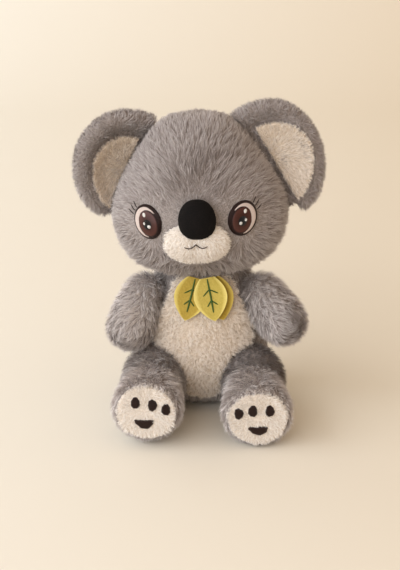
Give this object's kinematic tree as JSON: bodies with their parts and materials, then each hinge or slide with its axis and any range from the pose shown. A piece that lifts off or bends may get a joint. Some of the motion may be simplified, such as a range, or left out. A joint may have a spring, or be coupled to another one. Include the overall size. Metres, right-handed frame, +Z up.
{
  "type": "plush koala",
  "caption": "Seated plush koala with a big turning head, padded folding ears, swinging arms and legs, a cream belly, white soles and felt leaves under the chin.",
  "frame": {"origin": "on the floor at the middle of the seat panel's underside, where the toy sits", "axes": "+Z up from the seat through the head, -Y the way the face looks, +X toward the toy's own left"},
  "size_m": [0.1882, 0.1521, 0.2366],
  "materials": {
    "grey_plush": "matte",
    "cream_plush": "matte",
    "white_plush": "matte",
    "black_fabric": "matte",
    "dark_thread": "satin",
    "white_thread": "satin",
    "brown_thread": "satin",
    "pupil_thread": "satin",
    "light_felt": "matte",
    "shade_felt": "matte",
    "seat_fabric": "matte",
    "bag_fabric": "matte"
  },
  "bodies": {
    "torso": {"torso": "grey_plush", "pellet_bag": "bag_fabric", "seat_panel": "seat_fabric", "belly_panel": "cream_plush"},
    "head": {"head": "grey_plush", "muzzle": "white_plush", "nose": "black_fabric", "mouth_thread": "dark_thread", "eye_rim_left": "dark_thread", "eye_white_left": "white_thread", "eye_iris_left": "brown_thread", "eye_pupil_left": "pupil_thread", "eye_glint_left": "white_thread", "eye_rim_right": "dark_thread", "eye_white_right": "white_thread", "eye_iris_right": "brown_thread", "eye_pupil_right": "pupil_thread", "eye_glint_right": "white_thread"},
    "ear_left": {"ear_left": "grey_plush", "ear_liner_left": "cream_plush"},
    "ear_right": {"ear_right": "grey_plush", "ear_liner_right": "cream_plush"},
    "arm_left": {"arm_left": "grey_plush"},
    "arm_right": {"arm_right": "grey_plush"},
    "leg_left": {"leg_left": "grey_plush", "sole_left": "white_plush", "toe_outer_left": "dark_thread", "toe_middle_left": "dark_thread", "toe_inner_left": "dark_thread", "palm_left": "dark_thread"},
    "leg_right": {"leg_right": "grey_plush", "sole_right": "white_plush", "toe_outer_right": "dark_thread", "toe_middle_right": "dark_thread", "toe_inner_right": "dark_thread", "palm_right": "dark_thread"},
    "leaves": {"leaf_back": "shade_felt", "leaf_right": "light_felt", "leaf_left": "light_felt"}
  },
  "joints": [
    {"name": "head_turn", "type": "hinge", "parent": "torso", "child": "head", "pos_m": [0, 0, 0.112], "axis": [0, 0, 1], "range_deg": [-25, 25], "stiffness_Nm_per_rad": 0.6},
    {"name": "ear_fold_left", "type": "hinge", "parent": "head", "child": "ear_left", "pos_m": [0.05172, 0.00735, 0.18926], "axis": [0.5152, -0.1356, -0.8463], "range_deg": [-15, 20], "stiffness_Nm_per_rad": 0.15},
    {"name": "ear_fold_right", "type": "hinge", "parent": "head", "child": "ear_right", "pos_m": [-0.05959, 0.01333, 0.18249], "axis": [0.4207, 0.0854, 0.9032], "range_deg": [-20, 8], "stiffness_Nm_per_rad": 0.15},
    {"name": "arm_swing_left", "type": "hinge", "parent": "torso", "child": "arm_left", "pos_m": [0.03663, -0.01179, 0.08667], "axis": [-0.8066, 0.4289, -0.4067], "range_deg": [-20, 35], "stiffness_Nm_per_rad": 0.2},
    {"name": "arm_swing_right", "type": "hinge", "parent": "torso", "child": "arm_right", "pos_m": [-0.03663, -0.01179, 0.08667], "axis": [-0.8066, -0.4289, 0.4067], "range_deg": [-20, 35], "stiffness_Nm_per_rad": 0.2},
    {"name": "leg_lift_left", "type": "hinge", "parent": "torso", "child": "leg_left", "pos_m": [0.0375, -0.036, 0.0265], "axis": [-0.9994, -0.0349, 0], "range_deg": [-8, 25], "stiffness_Nm_per_rad": 0.5},
    {"name": "leg_lift_right", "type": "hinge", "parent": "torso", "child": "leg_right", "pos_m": [-0.0375, -0.036, 0.0265], "axis": [-0.9976, 0.0698, 0], "range_deg": [-8, 25], "stiffness_Nm_per_rad": 0.5},
    {"name": "leaf_lift", "type": "hinge", "parent": "torso", "child": "leaves", "pos_m": [0, -0.03045, 0.108], "axis": [-1, 0, 0], "range_deg": [0, 25], "stiffness_Nm_per_rad": 0.02}
  ]
}
